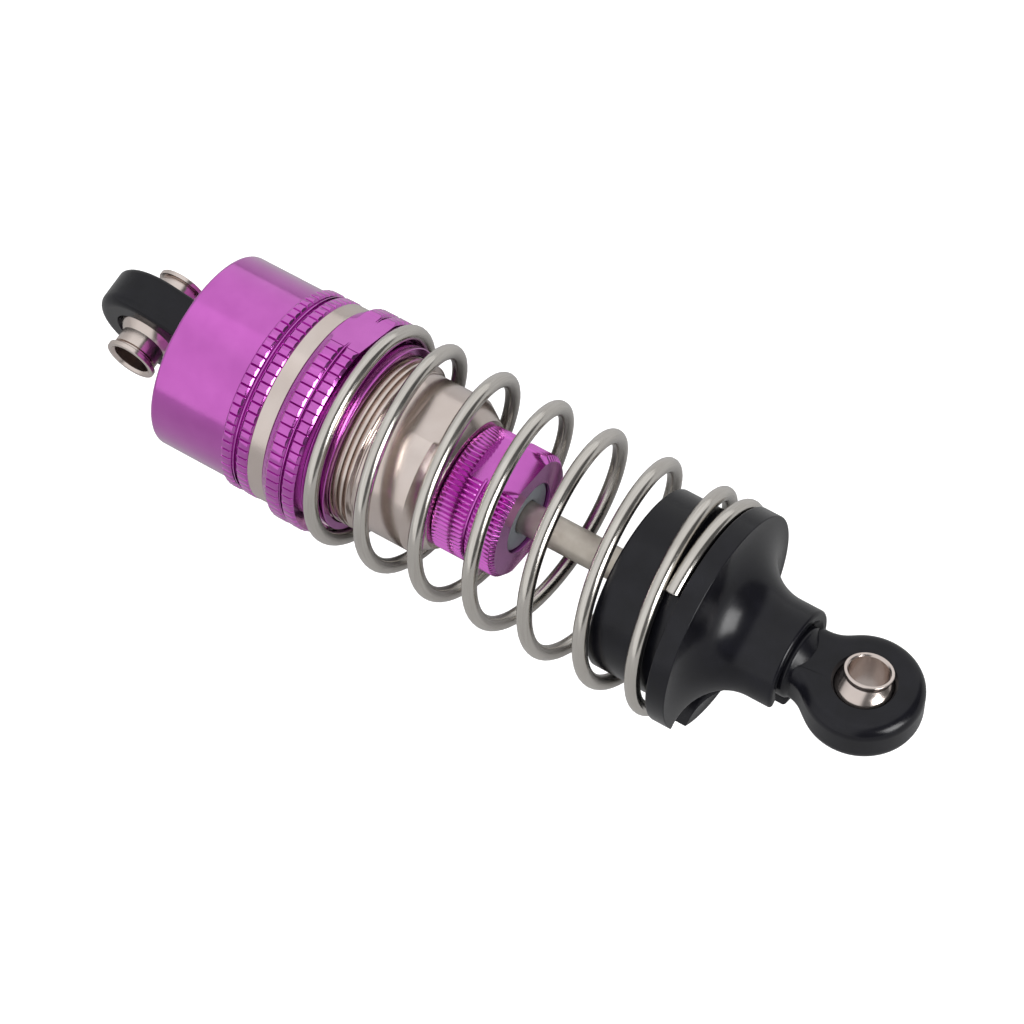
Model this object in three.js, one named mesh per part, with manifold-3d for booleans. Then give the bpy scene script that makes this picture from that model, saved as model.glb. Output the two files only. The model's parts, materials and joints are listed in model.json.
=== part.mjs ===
// Coilover damper for a model car: an oil damper with its coil spring, laid along +X.
// The origin is the centre of the upper pivot, whose bolt lies along Y. Millimetres, +Z up.

import * as THREE from 'three';
import { mergeVertices } from 'three/addons/utils/BufferGeometryUtils.js';
import Module from 'manifold-3d';

const wasm = await Module();
wasm.setup();

// ---------------------------------------------------------------- driving dimensions

const PIVOT_DISTANCE = 61.0; // upper pivot to lower pivot, damper fully extended
const FIT = 0.05; // gap between pieces that touch or slide
const BOLT_BORE_R = 1.5; // both pivot balls take an M3 bolt

const UPPER_EYE = { r: 4.4, width: 3.2, bevel: 0.35, seatHalf: 1.25, mouthR: 2.62 };
const UPPER_SHANK = { half: 3.3, leaveDeg: 74 }; // its sides are straight and touch the eye's circle
const UPPER_STEM = { r: 2.0, length: 2.1 }; // held in the cap's pocket
const UPPER_BALL = { r: 2.7, neckR: 1.73, flangeR: 2.03, flange: 0.4, near: 3.8, far: 3.45 };
const CAP = { start: 4.8, end: 13.7, r: 7.77, bandR: 8.1, bandStart: 11.35, wall: 2.7, roomR: 6.0 };
const SPIGOT = { start: 9.9, r: 6.82 }; // the body's upper thread, inside the cap
const FLANGE = { start: 13.72, end: 15.07, r: 8.03 }; // plain ring between cap and adjuster
const BODY = { threadR: 6.7, threadEnd: 21.8, r: 6.24, coneStart: 25.93, end: 27.53, endR: 5.2 };
const CYLINDER = { r: 5.3, end: 23.3, plugR: 4.3 }; // oil space, then the seal cap's thread
const BODY_FLATS = { distance: 5.96, start: 23.5, end: 28.5, facingDeg: 79.1 }; // from +Y towards +Z
const SEAL_CAP_FLATS = { distance: 4.22, start: 29.1, end: 34.0, facingDeg: 72.8 };
const ADJUSTER_FLATS = { distance: 8.1, start: 14.0, end: 19.0, facingDeg: 59.5 };
const ADJUSTER = { start: 15.15, face: 18.1, r: 8.6, bossR: 7.4, bossEnd: 20.02 };
const ADJUSTER_BORE_R = BODY.threadR + 0.1;
const SPRING = { r: 8.15, wireR: 0.575, turns: 7.72, deadPitch: 0.25, ramp: 0.9, gap: 0.03 };
const SPRING_START_DEG = -148.9; // where the upper wire end lies, from +Y towards +Z
const SEAL_CAP = { plugStart: 23.5, start: 27.58, end: 33.0, r: 4.93, faceR: 4.56 };
const SEAL_POCKET = { start: 24.2, r: 2.82, holeR: 1.45 }; // it holds the seals and the guide
const SHAFT = { r: 1.25, start: 20.8, end: 56.4 };
const SHAFT_BORE_R = SHAFT.r + 0.07; // of the pieces on the rod or round it
const STACK_R = SEAL_POCKET.r - FIT; // of the pieces in the seal cap's pocket
const PISTON = { r: 5.22, start: 21.6, end: 23.1, clipR: 2.2, clip: 0.3, clipGap: 0.03 };
const OIL_HOLES = { count: 3, r: 0.6, at: 3.3 }; // through the piston
const SEAL = { centreR: 2.02, tubeR: 0.68 };
const SEAT = { start: 42.45, r: 7.1, cupR: 5.7, flange: 48.22, flangeR: 8.55, rim: 49.8, floor: 46.0 };
const SEAT_NECK = { start: 53.8, end: 55.8, r: 3.97, mouthR: 3.3 };
const SEAT_SLOT = { width: 3.2, angleDeg: 211.3 };
const ROD_END = { r: 4.4, width: 3.6, bevel: 0.7, seatHalf: 1.5, mouthR: 2.5, tiltDeg: -11.0 };
const ROD_END_NECK = { start: 50.1, end: 56.0, r: 2.76, taperEnd: 56.8, taperR: 1.9 };
const ROD_END_SHANK = [{ half: 2.75, leaveDeg: 60 }, { half: 2.3, leaveDeg: 60 }]; // its two sides differ
const LOWER_BALL = { r: 2.6, lipR: 1.83, lip: 0.18, neckR: 1.7, halfLength: 2.5, tiltDeg: -24.7 };

const ROUND = 36; // sides of the large turned pieces
const SMALL_ROUND = 28; // sides of the small ones

// ---------------------------------------------------------------- materials

const material = (color, roughness, metalness) =>
  new THREE.MeshStandardMaterial({ color, roughness, metalness });

const PURPLE_ANODISED = { color: 0xb84fb4, roughness: 0.3, metalness: 0.9 };
const NICKEL_PLATE = { color: 0xcbbdb4, roughness: 0.25, metalness: 1.0 };
const SPRING_STEEL = { color: 0xc4c1ba, roughness: 0.2, metalness: 1.0 };
const GROUND_STEEL = { color: 0xb5b0a6, roughness: 0.25, metalness: 1.0 };
const BLACK_NYLON = { color: 0x26262b, roughness: 0.5, metalness: 0.0 };
const GREY_ACETAL = { color: 0x858b94, roughness: 0.5, metalness: 0.0 };
const WHITE_ACETAL = { color: 0xe6e4dc, roughness: 0.45, metalness: 0.0 };
const RUBBER = { color: 0x1d1d1f, roughness: 0.8, metalness: 0.0 };

// ---------------------------------------------------------------- solids

/** A closed three.js geometry as a manifold solid: vertices merged, empty triangles dropped. */
function solid(geometry) {
  const bare = geometry.clone();
  bare.deleteAttribute('normal');
  bare.deleteAttribute('uv');
  const merged = mergeVertices(bare, 1e-5);
  const corners = merged.index.array;
  const triangles = [];
  for (let i = 0; i < corners.length; i += 3) {
    const [a, b, c] = [corners[i], corners[i + 1], corners[i + 2]];
    if (a !== b && b !== c && c !== a) triangles.push(a, b, c);
  }
  const mesh = new wasm.Mesh({
    numProp: 3,
    vertProperties: new Float32Array(merged.attributes.position.array),
    triVerts: new Uint32Array(triangles),
  });
  return new wasm.Manifold(mesh);
}

/** A manifold solid as a three.js geometry. */
function geometryOf(shape) {
  const mesh = shape.getMesh();
  const geometry = new THREE.BufferGeometry();
  geometry.setAttribute('position', new THREE.BufferAttribute(new Float32Array(mesh.vertProperties), 3));
  geometry.setIndex(new THREE.BufferAttribute(new Uint32Array(mesh.triVerts), 1));
  geometry.computeVertexNormals();
  return geometry;
}

/** An outline of [x, radius] points, in either order, turned about the X axis.
 *  It starts and ends on the axis, or it is closed here. */
function turned(outline, sides = ROUND) {
  const points = outline.map(([x, r]) => new THREE.Vector2(r, x));
  if (THREE.ShapeUtils.area(points) < 0) points.reverse();
  if (points[0].x > 0) points.push(points[0].clone());
  return new THREE.LatheGeometry(points, sides).rotateZ(-Math.PI / 2);
}

/** Points of an arc of an ellipse in the [x, radius] plane, from one angle to another. */
function arc(x, r, halfX, halfR, fromDeg, toDeg, steps) {
  const points = [];
  for (let i = 0; i <= steps; i += 1) {
    const angle = THREE.MathUtils.degToRad(fromDeg + ((toDeg - fromDeg) * i) / steps);
    points.push([x + halfX * Math.cos(angle), r + halfR * Math.sin(angle)]);
  }
  return points;
}

/** A plain tube about X. */
const tube = (start, end, innerR, outerR, sides = ROUND) =>
  turned([[start, innerR], [end, innerR], [end, outerR], [start, outerR]], sides);

/** A ring of round section about X. */
const ring = (x, centreR, tubeR) =>
  new THREE.TorusGeometry(centreR, tubeR, 8, SMALL_ROUND).rotateY(Math.PI / 2).translate(x, 0, 0);

/** A pair of flats at a distance from the axis, as the two blocks that mill them. */
function millFlats(shape, { distance, start, end, facingDeg }) {
  const depth = 4;
  let milled = shape;
  for (const side of [0, 180]) {
    const cutter = new THREE.BoxGeometry(end - start, 20, depth)
      .translate((start + end) / 2, 0, distance + depth / 2)
      .rotateX(THREE.MathUtils.degToRad(facingDeg - 90 + side));
    milled = milled.subtract(solid(cutter));
  }
  return milled;
}

/** An eye with a shank, flat in the XY plane, centred at x = 0, with bevelled edges. Each side of the
 *  shank leaves the circle along its tangent, at an angle from the shank, and bends to run along it. */
function eyePlate({ r: radius, width, bevel }, shankEnd, sides) {
  const r = radius - bevel;
  const end = shankEnd - bevel;
  const [lower, upper] = sides.map(({ half, leaveDeg }) => {
    const angle = THREE.MathUtils.degToRad(leaveDeg);
    const y = half - bevel;
    const leaveY = r * Math.sin(angle);
    const leaveX = r * Math.cos(angle);
    return { angle, y, leaveX, leaveY, bendX: leaveX + (leaveY - y) * Math.tan(angle) };
  });
  const outline = new THREE.Shape();
  outline.moveTo(end, -lower.y);
  outline.lineTo(end, upper.y);
  outline.quadraticCurveTo(upper.bendX, upper.y, upper.leaveX, upper.leaveY);
  outline.absarc(0, 0, r, upper.angle, 2 * Math.PI - lower.angle, false);
  outline.quadraticCurveTo(lower.bendX, -lower.y, end, -lower.y);
  return new THREE.ExtrudeGeometry(outline, {
    depth: width - 2 * bevel,
    bevelEnabled: true,
    bevelThickness: bevel,
    bevelSize: bevel,
    bevelSegments: 1,
    curveSegments: 14,
  }).translate(0, 0, -(width - 2 * bevel) / 2);
}

/** The round socket of an eye for a ball, about X, with a countersunk mouth at each side. */
function socket(ball, { width, seatHalf, mouthR }) {
  const radius = ball.r + FIT;
  const mouthHalf = width / 2 + 0.2;
  const edge = Math.sqrt(radius ** 2 - seatHalf ** 2);
  const limit = THREE.MathUtils.radToDeg(Math.atan2(edge, -seatHalf));
  return turned([
    [-mouthHalf, 0],
    [-mouthHalf, mouthR],
    ...arc(0, 0, radius, radius, limit, 180 - limit, 6),
    [mouthHalf, mouthR],
    [mouthHalf, 0],
  ], SMALL_ROUND);
}

/** Half of a ball's outline, from its neck on the left side to its neck on the right side. */
function ballArc(radius, neckR, steps) {
  const neck = THREE.MathUtils.radToDeg(Math.asin(neckR / radius));
  return arc(0, 0, radius, radius, 180 - neck, neck, steps);
}

// ---------------------------------------------------------------- upper end

const CAP_POCKET_END = CAP.start + UPPER_STEM.length + FIT;

function upperEye() {
  const shankEnd = CAP.start - FIT;
  const plate = eyePlate(UPPER_EYE, shankEnd, [UPPER_SHANK, UPPER_SHANK]).rotateX(Math.PI / 2);
  const stem = turned([
    [shankEnd - 1, 0],
    [shankEnd - 1, UPPER_STEM.r - 0.5],
    [shankEnd - 0.4, UPPER_STEM.r],
    [CAP.start + UPPER_STEM.length, UPPER_STEM.r],
    [CAP.start + UPPER_STEM.length, 0],
  ], SMALL_ROUND);
  const hole = socket(UPPER_BALL, UPPER_EYE).rotateZ(Math.PI / 2);
  return solid(plate).add(solid(stem)).subtract(solid(hole));
}

function upperPivotBall() {
  const { r, neckR, flangeR, flange, near, far } = UPPER_BALL;
  return solid(turned([
    [-near, BOLT_BORE_R],
    [-near, flangeR],
    [-near + flange - 0.1, flangeR],
    [-near + flange, neckR],
    ...ballArc(r, neckR, 6),
    [far - flange, neckR],
    [far - flange + 0.1, flangeR],
    [far, flangeR],
    [far, BOLT_BORE_R],
  ], SMALL_ROUND).rotateZ(Math.PI / 2));
}

// ---------------------------------------------------------------- cap, bladder and body

function topCap() {
  const chamfer = 0.25;
  const roomStart = CAP.start + CAP.wall;
  return solid(turned([
    [CAP_POCKET_END, 0],
    [CAP_POCKET_END, UPPER_STEM.r + FIT],
    [CAP.start, UPPER_STEM.r + FIT],
    [CAP.start, CAP.r - chamfer],
    [CAP.start + chamfer, CAP.r],
    [CAP.bandStart, CAP.r],
    [CAP.bandStart, CAP.bandR],
    [CAP.end, CAP.bandR],
    [CAP.end, SPIGOT.r + FIT],
    [SPIGOT.start - 0.7, SPIGOT.r + FIT],
    [SPIGOT.start - 0.7, CAP.roomR],
    [roomStart, CAP.roomR],
    [roomStart, 0],
  ]));
}

function bladder() {
  const wall = 0.5;
  const lip = { start: SPIGOT.start - 0.65, end: SPIGOT.start - FIT, innerR: 5.0, outerR: 6.75 };
  const rise = lip.start - (CAP.start + CAP.wall) - 0.15;
  return solid(turned([
    [lip.start - rise, 0],
    ...arc(lip.start, 0, rise, lip.innerR + wall, 180, 90, 4).slice(1),
    [lip.start, lip.outerR],
    [lip.end, lip.outerR],
    [lip.end, lip.innerR],
    ...arc(lip.start, 0, rise - wall, lip.innerR, 90, 180, 4).slice(0, -1),
    [lip.start - rise + wall, 0],
  ], SMALL_ROUND));
}

const CAP_SEAL = { x: 12.9, centreR: 6.42, tubeR: 0.36, grooveHalf: 0.45, grooveR: 6.0 };

function capSealRing() {
  return solid(ring(CAP_SEAL.x, CAP_SEAL.centreR, CAP_SEAL.tubeR));
}

function damperBody() {
  const turnedBody = solid(turned([
    [SPIGOT.start, CYLINDER.r],
    [SPIGOT.start, SPIGOT.r],
    [CAP_SEAL.x - CAP_SEAL.grooveHalf, SPIGOT.r],
    [CAP_SEAL.x - CAP_SEAL.grooveHalf, CAP_SEAL.grooveR],
    [CAP_SEAL.x + CAP_SEAL.grooveHalf, CAP_SEAL.grooveR],
    [CAP_SEAL.x + CAP_SEAL.grooveHalf, SPIGOT.r],
    [FLANGE.start, SPIGOT.r],
    [FLANGE.start, FLANGE.r],
    [FLANGE.end, FLANGE.r],
    [FLANGE.end, BODY.threadR],
    [BODY.threadEnd, BODY.threadR],
    [BODY.threadEnd + 0.4, BODY.r],
    [BODY.coneStart, BODY.r],
    [BODY.end, BODY.endR],
    [BODY.end, CYLINDER.plugR],
    [CYLINDER.end, CYLINDER.plugR],
    [CYLINDER.end, CYLINDER.r],
  ]));
  return millFlats(turnedBody, BODY_FLATS);
}

// ---------------------------------------------------------------- spring adjuster

const ADJUSTER_SEAL = { x: 16.6, centreR: 7.12, tubeR: 0.33, grooveHalf: 0.4, grooveR: 7.5 };

function adjusterNut() {
  const chamfer = 0.45;
  const nut = solid(turned([
    [ADJUSTER.start, ADJUSTER_BORE_R],
    [ADJUSTER.start, ADJUSTER.r - chamfer],
    [ADJUSTER.start + chamfer, ADJUSTER.r],
    [ADJUSTER.face - chamfer / 2, ADJUSTER.r],
    [ADJUSTER.face, ADJUSTER.r - chamfer / 2],
    [ADJUSTER.face, ADJUSTER.bossR],
    [ADJUSTER.bossEnd, ADJUSTER.bossR],
    [ADJUSTER.bossEnd, ADJUSTER_BORE_R],
    [ADJUSTER_SEAL.x + ADJUSTER_SEAL.grooveHalf, ADJUSTER_BORE_R],
    [ADJUSTER_SEAL.x + ADJUSTER_SEAL.grooveHalf, ADJUSTER_SEAL.grooveR],
    [ADJUSTER_SEAL.x - ADJUSTER_SEAL.grooveHalf, ADJUSTER_SEAL.grooveR],
    [ADJUSTER_SEAL.x - ADJUSTER_SEAL.grooveHalf, ADJUSTER_BORE_R],
  ]));
  return millFlats(nut, ADJUSTER_FLATS);
}

function adjusterORing() {
  return solid(ring(ADJUSTER_SEAL.x, ADJUSTER_SEAL.centreR, ADJUSTER_SEAL.tubeR));
}

// ---------------------------------------------------------------- coil spring

const SPRING_FROM = ADJUSTER.face + SPRING.gap + SPRING.wireR;
const SPRING_TO = SEAT.flange - SPRING.gap - SPRING.wireR;

/** Centre line of the wire: closed end turns, and an even pitch between them. */
class SpringLine extends THREE.Curve {
  constructor() {
    super();
    const closing = 0.813; // turns from a wire end to the middle of the ramp in pitch
    const dead = SPRING.deadPitch * SPRING.turns;
    this.extraPitch = (SPRING_TO - SPRING_FROM - dead) / (SPRING.turns - 2 * closing);
    this.rampUp = closing - SPRING.ramp / 2;
    this.rampDown = SPRING.turns - closing - SPRING.ramp / 2;
  }

  /** Area under a smooth step of one ramp's length, which ends at its start plus the ramp. */
  static stepped(turn, start) {
    const t = (turn - start) / SPRING.ramp;
    if (t <= 0) return 0;
    if (t >= 1) return SPRING.ramp * (t - 0.5);
    return SPRING.ramp * (t ** 3 - t ** 4 / 2);
  }

  getPoint(t, target = new THREE.Vector3()) {
    const turn = t * SPRING.turns;
    const ramps = SpringLine.stepped(turn, this.rampUp) - SpringLine.stepped(turn, this.rampDown);
    const x = SPRING_FROM + SPRING.deadPitch * turn + this.extraPitch * ramps;
    const angle = THREE.MathUtils.degToRad(SPRING_START_DEG) + 2 * Math.PI * turn;
    return target.set(x, SPRING.r * Math.cos(angle), SPRING.r * Math.sin(angle));
  }
}

function coilSpring() {
  const section = new THREE.Shape();
  section.absarc(0, 0, SPRING.wireR, 0, 2 * Math.PI, false);
  return solid(new THREE.ExtrudeGeometry(section, {
    steps: Math.round(SPRING.turns * 24),
    extrudePath: new SpringLine(),
    curveSegments: 4,
  }));
}

// ---------------------------------------------------------------- seals and seal cap

const SEAL_STACK_START = SEAL_POCKET.start + FIT;
const SEAL_LENGTH = 2 * SEAL.tubeR + FIT;
const SPACER = { start: SEAL_STACK_START + SEAL_LENGTH + FIT, length: 3.3 };
const SECOND_SEAL_X = SPACER.start + SPACER.length + FIT + SEAL.tubeR;
const GUIDE = { start: SECOND_SEAL_X + SEAL.tubeR + FIT, end: 32.72 };

function sealCap() {
  const plugR = CYLINDER.plugR - FIT;
  const shape = solid(turned([
    [SEAL_CAP.plugStart, SEAL_POCKET.holeR],
    [SEAL_CAP.plugStart, plugR],
    [SEAL_CAP.start, plugR],
    [SEAL_CAP.start, SEAL_CAP.r - 0.3],
    [SEAL_CAP.start + 0.3, SEAL_CAP.r],
    [SEAL_CAP.end - 0.37, SEAL_CAP.r],
    [SEAL_CAP.end, SEAL_CAP.faceR],
    [SEAL_CAP.end, SEAL_POCKET.r],
    [SEAL_POCKET.start, SEAL_POCKET.r],
    [SEAL_POCKET.start, SEAL_POCKET.holeR],
  ]));
  return millFlats(shape, SEAL_CAP_FLATS);
}

// ---------------------------------------------------------------- rod

function piston() {
  const shape = solid(tube(PISTON.start, PISTON.end, SHAFT_BORE_R, PISTON.r));
  let drilled = shape;
  for (let i = 0; i < OIL_HOLES.count; i += 1) {
    const hole = new THREE.CylinderGeometry(OIL_HOLES.r, OIL_HOLES.r, 4, 12)
      .rotateZ(Math.PI / 2)
      .translate((PISTON.start + PISTON.end) / 2, OIL_HOLES.at, 0)
      .rotateX((2 * Math.PI * i) / OIL_HOLES.count);
    drilled = drilled.subtract(solid(hole));
  }
  return drilled;
}

function shaft() {
  return solid(turned([
    [SHAFT.start, 0],
    [SHAFT.start, SHAFT.r - 0.2],
    [SHAFT.start + 0.2, SHAFT.r],
    [SHAFT.end, SHAFT.r],
    [SHAFT.end, 0],
  ], SMALL_ROUND));
}

function rodEnd() {
  const shankEnd = PIVOT_DISTANCE - SEAT_NECK.end - 0.3;
  const plate = eyePlate(ROD_END, shankEnd, ROD_END_SHANK).rotateZ(Math.PI);
  const neck = turned([
    [ROD_END_NECK.start, SHAFT_BORE_R],
    [ROD_END_NECK.start, ROD_END_NECK.r],
    [ROD_END_NECK.end, ROD_END_NECK.r],
    [ROD_END_NECK.taperEnd, ROD_END_NECK.taperR],
    [ROD_END_NECK.taperEnd, 0],
    [SHAFT.end + FIT, 0],
    [SHAFT.end + FIT, SHAFT_BORE_R],
  ], SMALL_ROUND);
  const bore = turned([
    [ROD_END_NECK.start - 1, 0],
    [ROD_END_NECK.start - 1, SHAFT_BORE_R],
    [SHAFT.end + FIT, SHAFT_BORE_R],
    [SHAFT.end + FIT, 0],
  ], SMALL_ROUND);
  const hole = socket(LOWER_BALL, ROD_END).rotateY(-Math.PI / 2);
  const tilt = THREE.MathUtils.degToRad(ROD_END.tiltDeg);
  plate.rotateX(tilt).translate(PIVOT_DISTANCE, 0, 0);
  hole.rotateX(tilt).translate(PIVOT_DISTANCE, 0, 0);
  return solid(plate).add(solid(neck)).subtract(solid(bore)).subtract(solid(hole));
}

function lowerPivotBall() {
  const { r, lipR, lip, neckR, halfLength, tiltDeg } = LOWER_BALL;
  return solid(turned([
    [-halfLength, BOLT_BORE_R],
    [-halfLength, lipR],
    [-halfLength + lip, lipR],
    ...ballArc(r, neckR, 6),
    [halfLength - lip, lipR],
    [halfLength, lipR],
    [halfLength, BOLT_BORE_R],
  ], SMALL_ROUND)
    .rotateY(-Math.PI / 2)
    .rotateX(THREE.MathUtils.degToRad(tiltDeg))
    .translate(PIVOT_DISTANCE, 0, 0));
}

// ---------------------------------------------------------------- lower spring seat

function springSeat() {
  const neckSocketR = ROD_END_NECK.r + 0.1;
  const bellR = SEAT.flangeR - 0.25; // where the bell meets the rim
  const bell = arc(SEAT_NECK.start, bellR, SEAT_NECK.start - SEAT.rim, bellR - SEAT_NECK.r, 180, 270, 6);
  const shape = solid(turned([
    [SEAT.start, SEAT.cupR],
    [SEAT.start, SEAT.r],
    [SEAT.flange, SEAT.r],
    [SEAT.flange, SEAT.flangeR - 0.15],
    [SEAT.flange + 0.15, SEAT.flangeR],
    [SEAT.rim - 0.2, SEAT.flangeR],
    ...bell,
    [SEAT_NECK.end - 0.3, SEAT_NECK.r],
    [SEAT_NECK.end, SEAT_NECK.r - 0.3],
    [SEAT_NECK.end, SEAT_NECK.mouthR],
    [SEAT_NECK.end - 0.4, neckSocketR],
    [ROD_END_NECK.start - FIT, neckSocketR],
    [ROD_END_NECK.start - FIT, SEAT_SLOT.width / 2],
    [SEAT.floor, SEAT_SLOT.width / 2],
    [SEAT.floor, SEAT.cupR],
  ]));
  const slot = new THREE.BoxGeometry(20, 12, SEAT_SLOT.width)
    .translate(SEAT.start + 9, 6, 0)
    .rotateX(THREE.MathUtils.degToRad(SEAT_SLOT.angleDeg));
  return shape.subtract(solid(slot));
}

// ---------------------------------------------------------------- assembly

const coilover = new THREE.Group();

function place(name, shape, look) {
  const mesh = new THREE.Mesh(geometryOf(shape), material(look.color, look.roughness, look.metalness));
  mesh.name = name;
  coilover.add(mesh);
}

place('upper_eye', upperEye(), BLACK_NYLON);
place('upper_pivot_ball', upperPivotBall(), NICKEL_PLATE);
place('top_cap', topCap(), PURPLE_ANODISED);
place('bladder', bladder(), RUBBER);
place('cap_seal_ring', capSealRing(), RUBBER);
place('body', damperBody(), NICKEL_PLATE);
place('adjuster_nut', adjusterNut(), PURPLE_ANODISED);
place('adjuster_o_ring', adjusterORing(), RUBBER);
place('coil_spring', coilSpring(), SPRING_STEEL);
place('seal_cap', sealCap(), PURPLE_ANODISED);
place('shaft_seal_upper', solid(ring(SEAL_STACK_START + SEAL.tubeR, SEAL.centreR, SEAL.tubeR)), RUBBER);
place(
  'seal_spacer',
  solid(tube(SPACER.start, SPACER.start + SPACER.length, SHAFT_BORE_R, STACK_R, SMALL_ROUND)),
  WHITE_ACETAL,
);
place('shaft_seal_lower', solid(ring(SECOND_SEAL_X, SEAL.centreR, SEAL.tubeR)), RUBBER);
place('shaft_guide', solid(tube(GUIDE.start, GUIDE.end, SHAFT_BORE_R, STACK_R, SMALL_ROUND)), GREY_ACETAL);
place('piston', piston(), WHITE_ACETAL);
for (const [name, start] of [
  ['piston_clip_upper', PISTON.start - PISTON.clip - PISTON.clipGap],
  ['piston_clip_lower', PISTON.end + PISTON.clipGap],
]) {
  const clip = tube(start, start + PISTON.clip, SHAFT_BORE_R, PISTON.clipR, SMALL_ROUND);
  place(name, solid(clip), GROUND_STEEL);
}
place('shaft', shaft(), GROUND_STEEL);
place('spring_seat', springSeat(), BLACK_NYLON);
place('rod_end', rodEnd(), BLACK_NYLON);
place('lower_pivot_ball', lowerPivotBall(), NICKEL_PLATE);

export default coilover;
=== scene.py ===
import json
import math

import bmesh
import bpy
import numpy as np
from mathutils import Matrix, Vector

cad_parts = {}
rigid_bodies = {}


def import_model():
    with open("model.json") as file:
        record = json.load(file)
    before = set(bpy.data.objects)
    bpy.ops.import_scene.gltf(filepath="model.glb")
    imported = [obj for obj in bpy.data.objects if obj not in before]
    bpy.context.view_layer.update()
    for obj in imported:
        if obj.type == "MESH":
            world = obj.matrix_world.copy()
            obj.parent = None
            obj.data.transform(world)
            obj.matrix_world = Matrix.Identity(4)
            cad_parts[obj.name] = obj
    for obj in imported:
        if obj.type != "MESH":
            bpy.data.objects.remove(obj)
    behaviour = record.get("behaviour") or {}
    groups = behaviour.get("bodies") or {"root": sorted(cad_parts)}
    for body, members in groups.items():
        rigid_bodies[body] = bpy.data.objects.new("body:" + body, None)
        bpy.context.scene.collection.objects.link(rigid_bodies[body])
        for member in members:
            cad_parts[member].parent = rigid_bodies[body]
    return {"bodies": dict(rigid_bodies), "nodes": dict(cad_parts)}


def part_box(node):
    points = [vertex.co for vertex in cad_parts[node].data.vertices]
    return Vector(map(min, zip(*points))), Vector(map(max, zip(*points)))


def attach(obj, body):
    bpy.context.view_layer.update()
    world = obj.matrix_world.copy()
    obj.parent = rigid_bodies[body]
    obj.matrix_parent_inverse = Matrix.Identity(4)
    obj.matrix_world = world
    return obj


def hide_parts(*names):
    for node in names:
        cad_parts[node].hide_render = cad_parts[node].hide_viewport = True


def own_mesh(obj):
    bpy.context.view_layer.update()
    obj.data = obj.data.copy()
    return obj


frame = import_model()

# %% [markdown]
# # A coilover damper for a model car
#
# The real damper is turned on a lathe: a nickel-plated body, three purple anodised
# rings with knurled edges, a coil spring of bright wire, and two black moulded
# ends that hold pivot balls. Almost every piece is round about one axis, so each
# is made the way a lathe makes it: an outline is carried round the X axis, and
# flats, teeth and threads are then cut into it by a formula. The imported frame
# says where each piece starts, where it ends and how wide it is.

MM = 0.001
TURN = 2 * math.pi
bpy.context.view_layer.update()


def span(node):
    """Where a piece starts and ends along the damper, and its outer radius, in millimetres."""
    low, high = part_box(node)
    return low.x / MM, high.x / MM, (high.z - low.z) / 2 / MM


print("the frame holds", len(frame["nodes"]), "pieces")

# %% [markdown]
# ## The camera
#
# The damper lies on its side and is seen from above and in front of its lower
# half. A long lens keeps the coils the same width from end to end. Three unit
# vectors hold the view: what is to the right, what is up, and the way back to the
# camera. They are made square to each other, so that only `back` is exact and
# `up` only says how the camera is rolled.

# %% Camera
LENS_MM, SENSOR_MM = 154.7, 36.0
CAMERA_DISTANCE = 318.84 * MM
LOOK_AT = Vector((31.63, -0.16, -0.06)) * MM
back = Vector((0.3173, -0.3290, 0.8894)).normalized()
up = Vector((-0.4445, 0.7769, 0.4459))
right = up.cross(back).normalized()
up = back.cross(right)

camera = bpy.data.objects.new("camera", bpy.data.cameras.new("camera"))
camera.data.lens = LENS_MM
camera.data.sensor_width = SENSOR_MM
camera.data.clip_start = 0.01
camera.matrix_world = Matrix.Translation(LOOK_AT + back * CAMERA_DISTANCE) @ Matrix(
    (right, up, back)
).transposed().to_4x4()
bpy.context.scene.collection.objects.link(camera)
bpy.context.scene.camera = camera
print("the camera is", round(CAMERA_DISTANCE / MM), "mm away")

# %% [markdown]
# ## From a grid of points to a mesh
#
# A shape is a grid of points worked out by numpy, in millimetres: the rows follow
# the outline, the columns go round. Each cell of the grid is one face. Where the
# grid meets itself, at the seam and at a pole on the axis, the doubles are
# merged, so every shell comes out closed.

# %% Grid to mesh
WELD = 1e-7
SHARP_DEG = 32


def tidy(mesh):
    """Merges doubles, points the faces outwards and keeps edges sharper than SHARP_DEG crisp."""
    shell = bmesh.new()
    shell.from_mesh(mesh)
    bmesh.ops.remove_doubles(shell, verts=shell.verts, dist=WELD)
    bmesh.ops.dissolve_degenerate(shell, dist=WELD, edges=shell.edges)
    bmesh.ops.recalc_face_normals(shell, faces=shell.faces)
    shell.to_mesh(mesh)
    shell.free()
    mesh.shade_smooth()
    mesh.set_sharp_from_angle(angle=math.radians(SHARP_DEG))


def surface(name, points, uv=None, lids=()):
    """Cell (i, j) of the grid is the face between rows i, i+1 and columns j, j+1. uv gives each grid
    point its place on the piece's own map. A lid is a flat face through the points it lists."""
    rows, columns = points.shape[:2]
    index = np.arange(rows * columns).reshape(rows, columns)
    corners = [index[:-1, :-1], index[1:, :-1], index[1:, 1:], index[:-1, 1:]]
    faces = np.stack(corners, axis=-1).reshape(-1, 4).tolist() + [list(lid) for lid in lids]
    mesh = bpy.data.meshes.new(name)
    mesh.from_pydata((points.reshape(-1, 3) * MM).tolist(), [], faces)
    if uv is not None:
        corner_points = np.zeros(len(mesh.loops), np.int32)
        mesh.loops.foreach_get("vertex_index", corner_points)
        layer = mesh.uv_layers.new(name="surface")
        layer.data.foreach_set("uv", uv.reshape(-1, 2)[corner_points].ravel())
    tidy(mesh)
    piece = bpy.data.objects.new(name, mesh)
    bpy.context.scene.collection.objects.link(piece)
    return piece


# %% [markdown]
# ## Outlines with broken edges
#
# No machined or moulded corner is perfectly sharp: a small round catches a thin
# line of light, and that line is what makes an edge look real. So each corner of
# an outline carries its own radius, and one function swaps it for an arc.

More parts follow.
